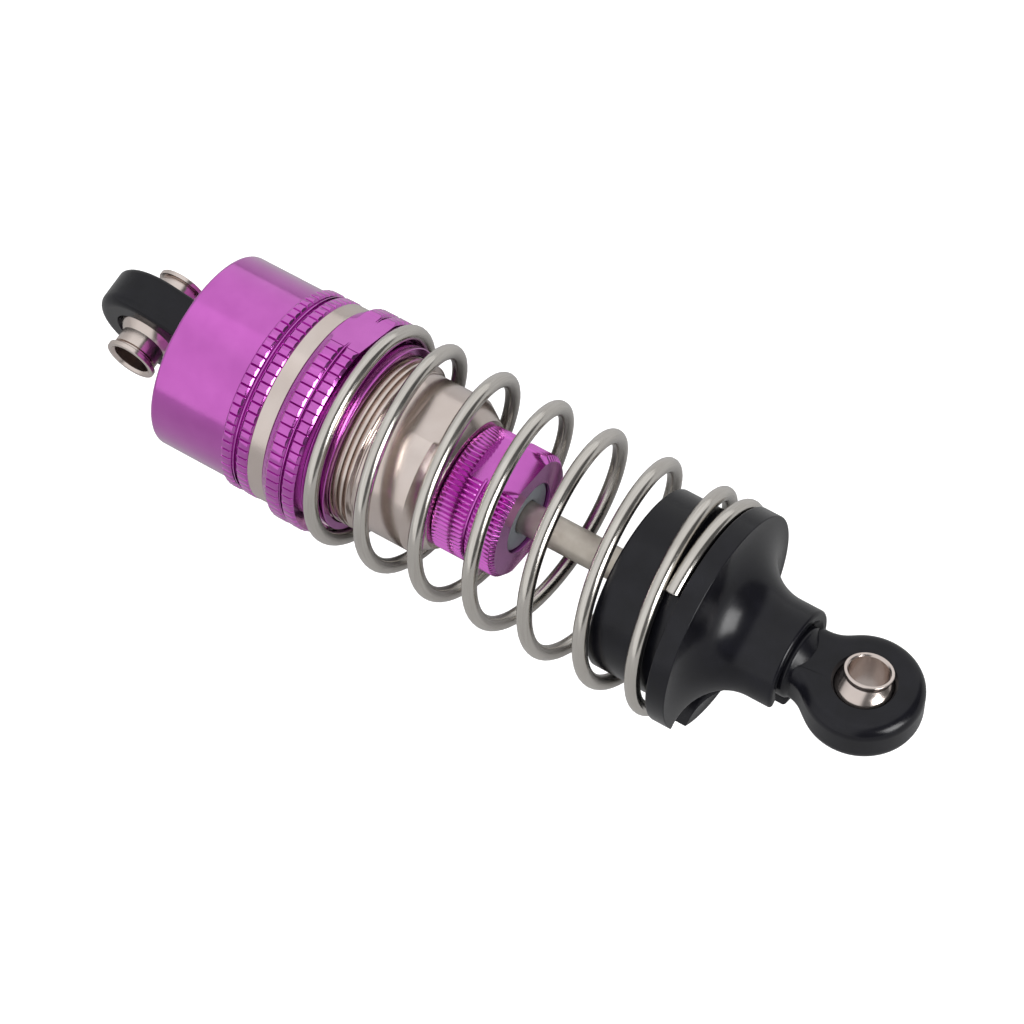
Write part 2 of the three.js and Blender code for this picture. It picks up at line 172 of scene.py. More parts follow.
# %% Rounded outlines
EDGE_GUARD = 0.02
ARC_STEPS = 5


def rounded(corners):
    """A corner (x, radius, fillet) becomes an arc that touches both of its sides.
    With half the corner's angle h, the arc starts fillet / tan h from the corner, and its centre is
    fillet / sin h away. One more point on each side, just off the arc, keeps the flat next to it flat."""
    points = []
    for i, (x, r, fillet) in enumerate(corners):
        corner = np.array([x, r], float)
        if fillet == 0:
            points.append(corner)
            continue
        before = np.array(corners[i - 1][:2]) - corner
        after = np.array(corners[(i + 1) % len(corners)][:2]) - corner
        before, after = before / np.linalg.norm(before), after / np.linalg.norm(after)
        half = math.acos(max(-1.0, min(1.0, before @ after))) / 2
        reach = fillet / math.tan(half)
        middle = (before + after) / np.linalg.norm(before + after)
        centre = corner + middle * fillet / math.sin(half)
        start, end = corner + before * reach - centre, corner + after * reach - centre
        sweep = math.pi - 2 * half
        share = np.linspace(0, 1, ARC_STEPS + 1)[:, None]
        arc = (np.sin((1 - share) * sweep) * start + np.sin(share * sweep) * end) / math.sin(sweep)
        points += [corner + before * (reach + EDGE_GUARD)]
        points += list(centre + arc)
        points += [corner + after * (reach + EDGE_GUARD)]
    return np.array(points)


def ellipse(x, r, half_x, half_r, start_deg, end_deg, steps):
    """Points of an arc: (x + half_x cos a, r + half_r sin a), with no fillet of their own."""
    angles = np.radians(np.linspace(start_deg, end_deg, steps + 1))
    return [(x + half_x * math.cos(a), r + half_r * math.sin(a), 0) for a in angles]


# %% [markdown]
# ## Turning
#
# A lathe sweeps an outline round the axis. What a mill or a knurling wheel does
# afterwards only takes metal away, so it is a rule that lowers the radius: a flat
# limits how far a point stands out in one direction, and a knurl cuts V-shaped
# grooves. The columns of the grid are put where those cuts begin and end, which
# keeps their edges straight.

# %% Turning, flats and knurls
def turned(name, outline, columns=192, cut=None):
    """An outline point (x, r) at angle a is (x, r cos a, r sin a). `columns` is a number or a list of
    angles. `cut` is a function of x, radius and angle that gives the radius that is left."""
    if np.isscalar(columns):
        columns = np.linspace(0, TURN, columns + 1)
    outline = np.array([row[:2] for row in outline], float)
    if outline[0, 1] > 0:
        outline = np.vstack([outline, outline[:1]])
    x = outline[:, :1] + 0 * columns
    r = outline[:, 1:] + 0 * columns
    if cut:
        r = cut(x, r, columns)
    return surface(name, np.stack([x, r * np.cos(columns), r * np.sin(columns)], axis=-1))


def flats(x, r, angle, facing_deg, distance, start, end):
    """Two opposite flats: between start and end no point may stand further out than
    distance / cos(angle from the flat's middle)."""
    lean = np.abs(np.cos(angle - math.radians(facing_deg)))
    return np.where((x > start) & (x < end), np.minimum(r, distance / np.maximum(lean, 1e-6)), r)


def flat_edges(cut, radius):
    """The angles at which a pair of flats leaves a round of that radius."""
    half = math.acos(cut["distance"] / radius)
    facing = math.radians(cut["facing_deg"])
    return [(facing + side + turn) % TURN for side in (0, math.pi) for turn in (-half, half)]


def knurl(x, r, angle, teeth, depth, groove, bands, crest, crown=0.05):
    """V-shaped grooves along the axis, one a tooth: the radius falls by depth at a groove's middle and
    rises in a straight line to its edge. groove is its width as a share of a tooth. Between two grooves the
    tooth is crowned: it falls by crown x (distance from its middle / half a tooth) squared."""
    phase = np.abs((angle * teeth / TURN + 0.5) % 1 - 0.5)
    floor = crest - depth * np.clip(1 - phase / (groove / 2), 0, 1) - crown * (1 - 2 * phase) ** 2
    for start, end in bands:
        r = np.where((x > start - 1e-6) & (x < end + 1e-6), np.minimum(r, floor), r)
    return r


def knurl_columns(teeth, groove, extra=()):
    """Angles at each groove's middle and edges, and along each crest, with some extra ones, in order."""
    half = min(groove / 2, 0.4)
    near = np.array([half / 2, half, half + 0.03, (half + 0.5) / 2])
    stops = np.concatenate([[0, 0.5], near, 1 - near])
    angles = (np.arange(teeth)[:, None] + stops).ravel() * TURN / teeth
    return np.unique(np.round(np.concatenate([angles, extra, [TURN]]), 6))


# %% [markdown]
# ## Materials: one helper and the studio's colours
#
# Colours are written as the sRGB hex values that a swatch would show, and one
# function turns them into the linear light that the renderer works in. One more
# function adds a node, with its settings and its links.

# %% Colour and node helpers
def linear(hex_code):
    """sRGB to linear: v / 12.92 up to 0.04045, and ((v + 0.055) / 1.055) ** 2.4 above it."""
    values = np.array([int(hex_code[i : i + 2], 16) / 255 for i in (1, 3, 5)])
    straight = values / 12.92
    curved = ((values + 0.055) / 1.055) ** 2.4
    return (*np.where(values <= 0.04045, straight, curved).tolist(), 1.0)


def add(tree, kind, settings=None, links=None, **properties):
    """Adds one node: properties are its own, settings fill its sockets, links join sockets to outputs."""
    node = tree.nodes.new("ShaderNode" + kind)
    for key, value in properties.items():
        setattr(node, key, value)
    for key, value in (settings or {}).items():
        node.inputs[key].default_value = value
    for key, output in (links or {}).items():
        tree.links.new(output, node.inputs[key])
    return node


def finish_material(name, build):
    """A new material whose shader is what build(tree) gives back."""
    made = bpy.data.materials.new(name)
    made.use_nodes = True
    made.node_tree.nodes.clear()
    shader = build(made.node_tree)
    add(made.node_tree, "OutputMaterial", links={"Surface": shader.outputs[0]})
    return made


def ramp(tree, value, stops):
    """A colour ramp with the given (place, hex or grey) stops."""
    node = add(tree, "ValToRGB", links={"Fac": value})
    elements = node.color_ramp.elements
    while len(elements) < len(stops):
        elements.new(0.5)
    for element, (place, colour) in zip(elements, stops):
        element.position = place
        element.color = linear(colour) if isinstance(colour, str) else (colour,) * 3 + (1.0,)
    return node.outputs["Color"]


# %% [markdown]
# ### What a lathe leaves behind
#
# Every turned face keeps fine rings from the tool. They depend only on the place
# along the axis and the distance from it, so the pattern reads those two numbers:
# noise over (x, radius) gives rings on a cylinder and on an end face alike. Real
# feed marks are about 0.03 mm apart. They are drawn at 0.07 mm, as fine as the
# render can show.

# %% Patterns and reliefs
FEED_MARK = 0.07 * MM


def rings(tree):
    """Noise over (x, radius) / FEED_MARK, so that it is constant round the axis."""
    place = add(tree, "TexCoord").outputs["Object"]
    split = add(tree, "SeparateXYZ", links={0: place}).outputs
    across = add(tree, "CombineXYZ", links={"Y": split["Y"], "Z": split["Z"]}).outputs[0]
    radius = add(tree, "VectorMath", links={0: across}, operation="LENGTH").outputs["Value"]
    pair = add(tree, "CombineXYZ", links={"X": split["X"], "Y": radius}).outputs[0]
    settings = {"Scale": 1 / FEED_MARK, "Detail": 2.0}
    return add(tree, "TexNoise", settings, {"Vector": pair}, noise_dimensions="2D").outputs["Fac"]


def grain(tree, size, detail=3.0):
    """Even noise in space, whose spots are about that size."""
    place = add(tree, "TexCoord").outputs["Object"]
    return add(tree, "TexNoise", {"Scale": 1 / size, "Detail": detail}, {"Vector": place}).outputs["Fac"]


def between(tree, value, low, high):
    """Carries a value from 0..1 to low..high."""
    return add(tree, "MapRange", {"To Min": low, "To Max": high}, {"Value": value}).outputs["Result"]


def relief(tree, height, strength, depth_mm, **more):
    """Turns a pattern into a bump of that depth in millimetres."""
    settings = {"Strength": strength, "Distance": depth_mm * MM}
    return add(tree, "Bump", settings, {"Height": height, **more}).outputs[0]


def dressed(tree, colour, roughness, normal, settings):
    """The usual surface shader with its colour, roughness and relief joined to it."""
    links = {"Base Color": colour, "Roughness": roughness, "Normal": normal}
    return add(tree, "BsdfPrincipled", settings, links)


# %% [markdown]
# ### Purple anodised aluminium
#
# Aluminium is turned, etched a little in the bath, and grows a clear oxide layer
# that holds the dye. The metal shines through the dye, so the colour is the tint
# of a metallic reflection, and the sealed oxide adds a thin colourless gloss that
# pales the grazing edges.

# %% Purple anodised aluminium
def anodised(tree):
    tint = ramp(tree, grain(tree, 2.5 * MM), [(0.35, "#CC60C6"), (0.65, "#D468CE")])
    roughness = between(tree, grain(tree, 0.6 * MM), 0.13, 0.20)
    turned_marks = relief(tree, rings(tree), 0.06, 0.004)
    etched = relief(tree, grain(tree, 0.12 * MM), 0.04, 0.004, Normal=turned_marks)
    settings = {"Metallic": 1.0, "Coat Weight": 0.8, "Coat Roughness": 0.1}
    return dressed(tree, tint, roughness, etched, settings)


purple_aluminium = finish_material("purple anodised aluminium", anodised)

# %% [markdown]
# ### Nickel plate
#
# The body and the pivot balls are turned and then plated with nickel out of a
# chemical bath. The plate is a warm, slightly pink grey, and thin enough to keep
# the rings of the tool, which blur the shine round the axis.

# %% Nickel plate
def nickel(tree):
    tint = ramp(tree, grain(tree, 3.0 * MM), [(0.3, "#D9CCC5"), (0.7, "#E1D5CF")])
    roughness = between(tree, grain(tree, 0.5 * MM), 0.16, 0.26)
    return dressed(tree, tint, roughness, relief(tree, rings(tree), 0.15, 0.005), {"Metallic": 1.0})


nickel_plate = finish_material("electroless nickel plate", nickel)

# %% [markdown]
# ### Spring wire and ground rod
#
# Spring wire is drawn through a die, which leaves faint lines along it, and is
# then plated bright. The lines follow the wire round every coil, so they are
# drawn on the wire's own map. The piston rod is ground round and polished: its
# marks are mixed, so it looks like satin.

# %% Steels
# The lines of the die are about 3 mm long and 0.11 mm apart, and the map is in millimetres.
DRAW_LINES_PER_MM = (0.35, 9.0, 1.0)


def drawn_wire(tree):
    place = add(tree, "UVMap", uv_map="surface").outputs["UV"]
    along = add(tree, "Mapping", {"Scale": DRAW_LINES_PER_MM}, {"Vector": place}).outputs[0]
    lines = add(tree, "TexNoise", {"Scale": 1.0, "Detail": 3.0}, {"Vector": along}).outputs["Fac"]
    tint = ramp(tree, lines, [(0.3, "#CFCAC3"), (0.7, "#DDD9D3")])
    roughness = between(tree, grain(tree, 0.8 * MM), 0.14, 0.24)
    return dressed(tree, tint, roughness, relief(tree, lines, 0.18, 0.006), {"Metallic": 1.0})


def ground(tree):
    marks = grain(tree, 0.25 * MM, detail=5.0)
    tint = ramp(tree, grain(tree, 0.9 * MM), [(0.3, "#BDB5AA"), (0.7, "#CCC5BB")])
    roughness = between(tree, marks, 0.26, 0.42)
    return dressed(tree, tint, roughness, relief(tree, marks, 0.25, 0.006), {"Metallic": 1.0})


spring_wire = finish_material("bright drawn spring wire", drawn_wire)
ground_steel = finish_material("ground rod steel", ground)

# %% [markdown]
# ### Moulded plastics and rubber
#
# Black nylon copies the mould it is made in, and glass fibre just under the skin
# makes the shine slightly uneven. Acetal is slippery and a little waxy. The seals
# are rubber, which is dark, dull and softly rough.

# %% Plastics and rubber
def moulded(dark, light, rough, grain_mm, strength, specular):
    """A moulding: two close colours, uneven gloss, and the fine relief of the mould."""

    def build(tree):
        marks = grain(tree, grain_mm * MM)
        tint = ramp(tree, grain(tree, 1.5 * MM), [(0.3, dark), (0.7, light)])
        roughness = between(tree, marks, rough - 0.05, rough + 0.07)
        normal = relief(tree, marks, strength, 0.01)
        return dressed(tree, tint, roughness, normal, {"Specular IOR Level": specular})

    return build


black_nylon = finish_material("moulded black nylon", moulded("#0A0A0E", "#101015", 0.22, 0.2, 0.06, 0.3))
grey_acetal = finish_material("grey acetal", moulded("#969CA4", "#A4AAB2", 0.40, 0.2, 0.15, 0.5))
white_acetal = finish_material("white acetal", moulded("#DEDCD3", "#E9E7E0", 0.42, 0.2, 0.12, 0.45))
seal_rubber = finish_material("seal rubber", moulded("#171718", "#202022", 0.75, 0.1, 0.35, 0.3))
print("made", len(bpy.data.materials), "materials")

# %% [markdown]
# ## Fitting a piece
#
# Every finished piece gets its material, takes the place of its plain solid, and
# rides on the body that carries it.

# %% Fit
def fit(piece, node, body, material):
    """Dresses a piece, and puts it in its solid's place on its body."""
    piece.data.materials.clear()
    piece.data.materials.append(material)
    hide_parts(node)
    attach(piece, body)
    print(f"{piece.name}: {len(piece.data.polygons)} faces, rides on {body}")
    return piece


# %% [markdown]
# ## Top cap
#
# The cap screws over the body's upper end and closes the oil chamber. Its skirt
# carries two knurled bands with a groove between them, and a thin ridge stands in
# the groove. The bands are chamfered, so each tooth ends in a small scallop.

# %% Top cap
CAP_TEETH = 64
KNURL_GROOVE, KNURL_DEPTH = 0.22, 0.2
BREAK = 0.15
cap_start, cap_end, cap_band_r = span("top_cap")
CAP_R = 7.77
CAP_BAND_1 = (11.35, 12.24)
CAP_BAND_2 = (12.70, cap_end)
CAP_GROOVE_R = 7.72
POCKET_END, POCKET_R = 6.95, 2.05
THREAD_ROOM_START, THREAD_ROOM_R = 9.2, 6.87
BLADDER_ROOM_START, BLADDER_ROOM_R = 7.5, 6.0


def knurled_band(start, end, crest, foot_start, foot_end, chamfer=BREAK):
    """A band's outline: up from its left foot, a chamfer, the crest, a chamfer, down to its right foot."""
    slope = [(chamfer * share, crest - chamfer * (1 - share), 0) for share in np.linspace(0, 1, 6)]
    rise = [(start + step, r, 0) for step, r, _ in slope]
    fall = [(end - step, r, 0) for step, r, _ in slope[::-1]]
    return [(start, foot_start, 0), *rise, *fall, (end, foot_end, 0)]


def ridge(middle, foot, height, half=0.07):
    """A thin raised ring standing in a groove."""
    return [
        (middle - half, foot, 0),
        (middle - half * 0.6, foot + height, 0),
        (middle + half * 0.6, foot + height, 0),
        (middle + half, foot, 0),
    ]


cap_outline = rounded(
    [
        (POCKET_END, 0, 0),
        (POCKET_END, POCKET_R, 0),
        (cap_start, POCKET_R, 0.05),
        (cap_start, CAP_R, 0.28),
        *knurled_band(*CAP_BAND_1, cap_band_r, CAP_R, CAP_GROOVE_R),
        *ridge((CAP_BAND_1[1] + CAP_BAND_2[0]) / 2, CAP_GROOVE_R, 0.28),
        *knurled_band(*CAP_BAND_2, cap_band_r, CAP_GROOVE_R, THREAD_ROOM_R + 0.1),
        (cap_end - 0.1, THREAD_ROOM_R, 0),
        (THREAD_ROOM_START, THREAD_ROOM_R, 0),
        (THREAD_ROOM_START, BLADDER_ROOM_R, 0),
        (BLADDER_ROOM_START, BLADDER_ROOM_R, 0.2),
        (BLADDER_ROOM_START, 0, 0),
    ]
)


def cap_teeth(x, r, angle):
    bands = (CAP_BAND_1, CAP_BAND_2)
    return knurl(x, r, angle, CAP_TEETH, KNURL_DEPTH, KNURL_GROOVE, bands, cap_band_r)


cap = turned("cap_turned", cap_outline, knurl_columns(CAP_TEETH, KNURL_GROOVE), cap_teeth)
fit(cap, "top_cap", "root", purple_aluminium)

# %% [markdown]
# ## Damper body
#
# One turned piece: a spigot that screws into the cap, drawn plain because its
# thread never shows, a ring that the cap shuts against, a fine thread for the
# spring adjuster, a plain barrel with two spanner flats, and a cone down to the
# seal cap. A thread isn't round about the axis, so the grid's rows are slanted to
# follow it: each row moves along by one pitch in a turn, and then joins the row of
# the next crest.

# %% Damper body
THREAD_PITCH, THREAD_DEPTH, THREAD_STEPS = 0.5, 0.38, 12
THREAD_R, THREAD_END, RUN_OUT = 6.7, 21.8, 0.3
ROOT_HALF, FLANK = 0.17, 0.12
BODY_COLUMNS = 240
# A flat starts between two rows this far to each side of its end.
STEP = 0.001
BARREL_R = 6.24
RING = (13.72, 15.07)
BODY_FLATS = {"facing_deg": 79.1, "distance": 5.96, "start": 23.5, "end": 28.0}
CONE_START, CONE_R = 25.93, 5.2
BORE_R, BORE_END, PLUG_R = 5.3, 23.3, 4.3
SPIGOT_R = 6.82
SEAL_GROOVE, SEAL_GROOVE_R = (12.45, 13.35), 6.0
body_start, body_end, ring_r = span("body")


def thread_radius(x, angle, start, crest):
    """Where the helix stands: the phase is x / pitch less the angle in turns. The root is flat up to
    ROOT_HALF of a pitch from its middle, a straight flank FLANK wide follows, and then a flat crest."""
    phase = np.abs(((x - start) / THREAD_PITCH - angle / TURN + 0.5) % 1 - 0.5)
    return crest - THREAD_DEPTH * (1 - np.clip((phase - ROOT_HALF) / FLANK, 0, 1))


def threaded_body(name):
    """The outline's rows, with the slanted rows of the thread between the ring and the barrel."""
    before = rounded(
        [
            (BORE_END, PLUG_R, 0),
            (BORE_END, BORE_R, 0),
            (body_start, BORE_R, 0.1),
            (body_start, SPIGOT_R, 0.15),
            (SEAL_GROOVE[0], SPIGOT_R, 0),
            (SEAL_GROOVE[0], SEAL_GROOVE_R, 0),
            (SEAL_GROOVE[1], SEAL_GROOVE_R, 0),
            (SEAL_GROOVE[1], SPIGOT_R, 0),
            (RING[0], SPIGOT_R, 0),
            (RING[0], ring_r, 0.08),
            (RING[1], ring_r, 0.08),
            (RING[1], THREAD_R - THREAD_DEPTH, 0),
        ]
    )
    flat_start = BODY_FLATS["start"]
    after = rounded(
        [
            (THREAD_END + 0.25, BARREL_R, 0),
            (THREAD_END + 0.5, BARREL_R, 0),
            (flat_start - STEP, BARREL_R, 0),
            (flat_start + STEP, BARREL_R, 0),
            (CONE_START, BARREL_R, 0.1),
            (body_end, CONE_R, 0.06),
            (body_end, PLUG_R, 0.05),
            (BORE_END, PLUG_R, 0),
        ]
    )
    even = np.linspace(0, TURN, BODY_COLUMNS + 1)
    angle = np.unique(np.concatenate([even, flat_edges(BODY_FLATS, BARREL_R)]))
    count = int((THREAD_END - RING[1]) / THREAD_PITCH + 2) * THREAD_STEPS
    row = RING[1] + (np.arange(count)[:, None] / THREAD_STEPS - 1) * THREAD_PITCH
    thread_x = np.clip(row + THREAD_PITCH * angle / TURN, RING[1], THREAD_END)
    run_out = np.clip((THREAD_END - thread_x) / RUN_OUT, 0, 1)
    crest = BARREL_R + (THREAD_R - BARREL_R) * run_out
    thread_r = np.minimum(crest, thread_radius(thread_x, angle, RING[1], THREAD_R))
    x = np.vstack([before[:, :1] + 0 * angle, thread_x, after[:, :1] + 0 * angle])
    r = np.vstack([before[:, 1:] + 0 * angle, thread_r, after[:, 1:] + 0 * angle])
    r = flats(x, r, angle, **BODY_FLATS)
    return surface(name, np.stack([x, r * np.cos(angle), r * np.sin(angle)], axis=-1))


fit(threaded_body("body_turned"), "body", "root", nickel_plate)

# %% [markdown]
# ## Spring adjuster
#
# A knurled nut on the body's thread. Turning it moves the end of the spring and
# sets the ride height. Two spanner flats are milled across the knurl, and a boss
# centres the spring's first coil.

# %% Spring adjuster
NUT_TEETH = 66
NUT_GROOVE = 0.18
nut_start, nut_end, nut_r = span("adjuster_nut")
NUT_FACE, NUT_BOSS_R, NUT_BORE_R = 18.1, 7.4, 6.8
NUT_BAND_1 = (15.62, 16.80)
NUT_BAND_2 = (17.02, NUT_FACE)
NUT_GROOVE_R, NUT_EDGE_R, NUT_LIP_R, NUT_FACE_R = 8.28, 8.12, 8.42, 8.2
NUT_SEAL, NUT_SEAL_R = (16.2, 17.0), 7.5
NUT_FLATS = {"facing_deg": 59.5, "distance": 8.1, "start": nut_start - 1, "end": NUT_FACE + 0.01}
nut_outline = rounded(
    [
        (nut_start, NUT_BORE_R, 0),
        (nut_start, NUT_EDGE_R, 0),
        (NUT_BAND_1[0] - 0.02, NUT_LIP_R - 0.02, 0),
        *knurled_band(*NUT_BAND_1, nut_r, NUT_LIP_R, NUT_GROOVE_R, 0.16),
        *ridge((NUT_BAND_1[1] + NUT_BAND_2[0]) / 2, NUT_GROOVE_R, 0.2, 0.05),
        *knurled_band(*NUT_BAND_2, nut_r, NUT_GROOVE_R, NUT_FACE_R, 0.2),
        (NUT_FACE, NUT_BOSS_R, 0.05),
        (nut_end, NUT_BOSS_R, 0.08),
        (nut_end, NUT_BORE_R, 0.05),
        (NUT_SEAL[1], NUT_BORE_R, 0),
        (NUT_SEAL[1], NUT_SEAL_R, 0),
        (NUT_SEAL[0], NUT_SEAL_R, 0),
        (NUT_SEAL[0], NUT_BORE_R, 0),
    ]
)


def nut_cuts(x, r, angle):
    bands = (NUT_BAND_1, NUT_BAND_2)
    r = knurl(x, r, angle, NUT_TEETH, KNURL_DEPTH, NUT_GROOVE, bands, nut_r)
    return flats(x, r, angle, **NUT_FLATS)


nut_columns = knurl_columns(NUT_TEETH, NUT_GROOVE, flat_edges(NUT_FLATS, nut_r))
nut = turned("adjuster_turned", nut_outline, nut_columns, nut_cuts)
fit(nut, "adjuster_nut", "adjuster", purple_aluminium)

# %% [markdown]
# ## Coil spring
#
# Round wire wound to the right, with its end coils closed so that they lie flat
# on the adjuster and on the seat. The wire's centre line is a helix whose pitch
# is small at both ends and even between them, with a smooth ramp from one to the
# other. A circle is carried along it, and its map runs along the wire in
# millimetres.

# %% Coil spring
WIRE_R, WIRE_CHAMFER = 0.575, 0.06
STEPS_PER_TURN, WIRE_COLUMNS = 64, 24
TURNS, CLOSED_TURNS, PITCH_RAMP, CLOSED_PITCH = 7.72, 0.813, 0.9, 0.25
SPRING_START_DEG = -148.9
spring_start, spring_end = span("coil_spring")[:2]
SPRING_R = 8.15


def ramp_area(turn, start):
    """The area under a smooth step (3 t^2 - 2 t^3) of PITCH_RAMP turns: t^3 - t^4 / 2 inside it, and a
    straight line after it."""
    t = (turn - start) / PITCH_RAMP
    inside = np.clip(t, 0, 1)
    return PITCH_RAMP * (inside**3 - inside**4 / 2 + np.maximum(t - 1, 0))


def wire_line(turn):
    """The wire's centre: closed pitch everywhere, and more pitch between the two ramps."""
    start, end = spring_start + WIRE_R, spring_end - WIRE_R
    extra = (end - start - CLOSED_PITCH * TURNS) / (TURNS - 2 * CLOSED_TURNS)
    rise = ramp_area(turn, CLOSED_TURNS - PITCH_RAMP / 2)
    fall = ramp_area(turn, TURNS - CLOSED_TURNS - PITCH_RAMP / 2)
    x = start + CLOSED_PITCH * turn + extra * (rise - fall)
    angle = math.radians(SPRING_START_DEG) + TURN * turn
    return np.stack([x, SPRING_R * np.cos(angle), SPRING_R * np.sin(angle)], axis=-1), angle


def coil(name):
    """A circle of the wire's radius in the plane square to the wire, at each step along it. The last steps
    shrink to the middle of each cut end."""
    per_mm = 1 / (TURN * SPRING_R)
    ends = np.array([0, 0, 0, WIRE_CHAMFER * per_mm])
    inset = 0.002
    middle = np.linspace(inset, TURNS - inset, int(TURNS * STEPS_PER_TURN))
    turn = np.concatenate([ends, middle, TURNS - ends[::-1]])
    face_r = WIRE_R - WIRE_CHAMFER
    caps = np.array([0, face_r - EDGE_GUARD, face_r, WIRE_R])
    radius = np.concatenate([caps, np.full(len(middle), WIRE_R), caps[::-1]])[:, None, None]
    line, angle = wire_line(turn)
    step = 1e-4
    tangent = wire_line(turn + step)[0] - wire_line(turn - step)[0]
    tangent /= np.linalg.norm(tangent, axis=1, keepdims=True)
    outward = np.stack([0 * angle, np.cos(angle), np.sin(angle)], axis=-1)
    sideways = np.cross(tangent, outward)
    around = np.linspace(0, TURN, WIRE_COLUMNS + 1)[None, :, None]
    points = line[:, None] + radius * (
        np.cos(around) * outward[:, None] + np.sin(around) * sideways[:, None]
    )
    along = turn / per_mm
    uv = np.stack(np.broadcast_arrays(along[:, None], around[..., 0] * WIRE_R), axis=-1)
    return surface(name, points, uv)


spring = coil("spring_wound")
fit(spring, "coil_spring", "spring", spring_wire)

# %% [markdown]
# ## Seal cap and its guide
#
# The seal cap plugs the lower end of the body and holds the rod's seals. Its
# knurl is a pleat: grooves and crests follow each other with no flat between
# them. Two deep flats for a spanner leave a narrow pleated band whole at the top.

# %% Seal cap
PLEATS = 74
seal_start, seal_end = span("seal_cap")[:2]
SEAL_CAP_R, FACE_R, FACE_CHAMFER = 4.93, 4.56, 0.37
HEAD_START, PLUG_END_R, ROD_HOLE_R, GUIDE_ROOM_R = 27.58, 4.25, 1.45, 2.82
GUIDE_ROOM_START = 24.2
PLEAT_DEPTH, PLEAT_GROOVE = 0.24, 0.85
WAIST_R = SEAL_CAP_R - 0.32
PLEAT_BAND_1 = (HEAD_START, 30.22)
PLEAT_BAND_2 = (30.56, seal_end)
SEAL_CAP_FLATS = {"facing_deg": 72.8, "distance": 4.22, "start": 29.1, "end": seal_end + 1}
flat_start = SEAL_CAP_FLATS["start"]
seal_cap_outline = rounded(
    [
        (seal_start, ROD_HOLE_R, 0),
        (seal_start, PLUG_END_R, 0.1),
        (HEAD_START, PLUG_END_R, 0),
        (HEAD_START, SEAL_CAP_R - 0.3, 0),
        (HEAD_START + 0.22, SEAL_CAP_R, 0),
        (flat_start - STEP, SEAL_CAP_R, 0),
        (flat_start + STEP, SEAL_CAP_R, 0),
        (PLEAT_BAND_1[1] - 0.1, SEAL_CAP_R, 0),
        (PLEAT_BAND_1[1], SEAL_CAP_R - 0.1, 0),
        (PLEAT_BAND_1[1], WAIST_R, 0),
        *ridge((PLEAT_BAND_1[1] + PLEAT_BAND_2[0]) / 2, WAIST_R, 0.22, 0.08),
        (PLEAT_BAND_2[0], WAIST_R, 0),
        (PLEAT_BAND_2[0], SEAL_CAP_R - 0.1, 0),
        (PLEAT_BAND_2[0] + 0.1, SEAL_CAP_R, 0),
        (seal_end - FACE_CHAMFER, SEAL_CAP_R, 0),
        (seal_end, FACE_R, 0),
        (seal_end, FACE_R - 0.03, 0),
        (seal_end, GUIDE_ROOM_R, 0.05),
        (GUIDE_ROOM_START, GUIDE_ROOM_R, 0),
        (GUIDE_ROOM_START, ROD_HOLE_R, 0),
    ]
)


def pleats(x, r, angle):
    bands = (PLEAT_BAND_1, PLEAT_BAND_2)
    r = knurl(x, r, angle, PLEATS, PLEAT_DEPTH, PLEAT_GROOVE, bands, SEAL_CAP_R, crown=0)
    return flats(x, r, angle, **SEAL_CAP_FLATS)


seal_columns = knurl_columns(PLEATS, PLEAT_GROOVE, flat_edges(SEAL_CAP_FLATS, SEAL_CAP_R))
seal_cap = turned("seal_cap_turned", seal_cap_outline, seal_columns, pleats)
fit(seal_cap, "seal_cap", "root", purple_aluminium)

# %% [markdown]
# ## Plain turned and moulded rings
#
# The pieces inside and the guide are simple: each is a ring or a sleeve, so each
# is one outline. They show when the damper is taken apart, so they have their
# real rounds and their own finish. In the list, a number is the fillet of a
# sleeve on the rod, and None stands for an O-ring's round section.

# %% Seals, guide, bladder, clips and rod
def sleeve(node, inner_r, fillet):
    """A plain tube as long and as wide as its solid, with broken edges."""
    start, end, outer = span(node)
    return rounded(
        [(start, inner_r, fillet), (start, outer, fillet), (end, outer, fillet), (end, inner_r, fillet)]
    )


def ring_section(node):
    """A round section whose size comes from its solid's length and outer radius."""
    start, end, outer = span(node)
    tube = (end - start) / 2
    return ellipse((start + end) / 2, outer - tube, tube, tube, 0, 360, 24)[:-1]


def bladder_outline():
    """A cup of even wall: a quarter ellipse outside, a smaller one inside, and a lip that is clamped."""
    start, end, lip_r = span("bladder")
    wall, lip, mouth = 0.5, 0.6, 5.0
    rise = end - lip - start
    return [
        (start, 0, 0),
        *ellipse(end - lip, 0, rise, mouth + wall, 180, 90, 12)[1:],
        (end - lip, lip_r, 0),
        (end, lip_r, 0),
        (end, mouth, 0),
        *ellipse(end - lip, 0, rise - wall, mouth, 90, 180, 12)[:-1],
        (start + wall, 0, 0),
    ]


def rod_outline():
    start, end, wide = span("shaft")
    return rounded([(start, 0, 0), (start, wide, 0.2), (end, wide, 0.15), (end, 0, 0)])


